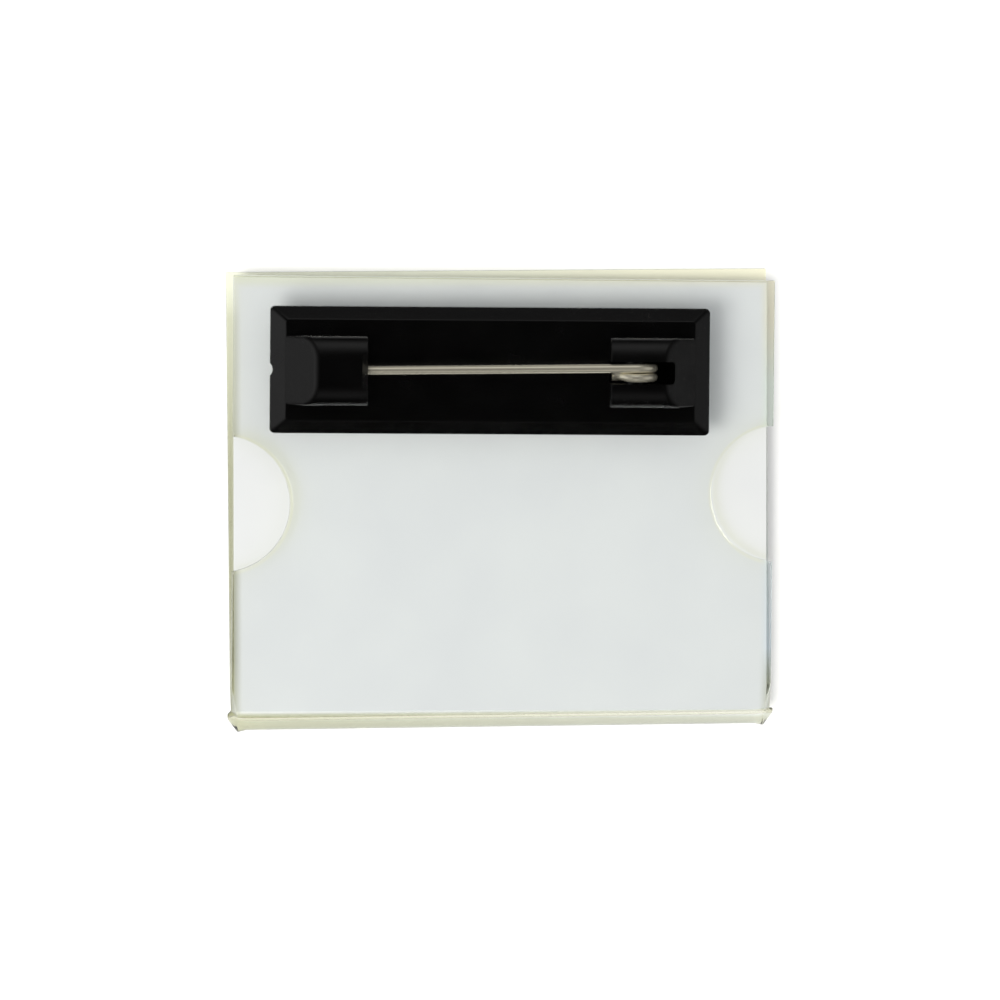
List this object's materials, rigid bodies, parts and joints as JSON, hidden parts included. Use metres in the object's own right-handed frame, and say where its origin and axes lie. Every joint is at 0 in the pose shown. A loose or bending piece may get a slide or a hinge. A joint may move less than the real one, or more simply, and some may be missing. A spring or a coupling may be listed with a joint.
{
  "type": "name badge",
  "caption": "Clear acrylic name badge holder bent from one sheet, with finger notches in the back panel, a plain white card in the pocket and a stick-on bar pin with a sprung steel needle.",
  "frame": {"origin": "middle of the badge's plan, on the outer face of the front panel that it lies on", "axes": "+X along the badge, from the needle's point to its coil; +Y from the bent edge to the open edge; +Z out of the back, towards the wearer"},
  "size_m": [0.0562, 0.0474, 0.0095],
  "materials": {
    "clear_acrylic": "polished clear cast acrylic sheet, bent warm, with flame-bright cut edges",
    "white_card": "uncoated white card, matt",
    "white_foam": "closed-cell foam tape, matt",
    "black_plastic": "black injection moulding, semi-gloss",
    "spring_steel": "nickel-plated spring wire, drawn and bright"
  },
  "bodies": {
    "badge": {"holder": "clear_acrylic", "adhesive_pad": "white_foam", "pin_bar": "black_plastic", "pin_coil": "spring_steel"},
    "card": {"insert_card": "white_card"},
    "needle": {"pin_needle": "spring_steel"}
  },
  "joints": [
    {"name": "card_slide", "type": "slide", "parent": "badge", "child": "card", "axis": [0, 1, 0], "range_m": [0, 0.04]},
    {"name": "needle_release", "type": "hinge", "parent": "badge", "child": "needle", "pos_m": [0.0107, 0.01378, 0.00893], "axis": [0, 0, 1], "range_deg": [0, 18], "stiffness_Nm_per_rad": 0.02}
  ]
}
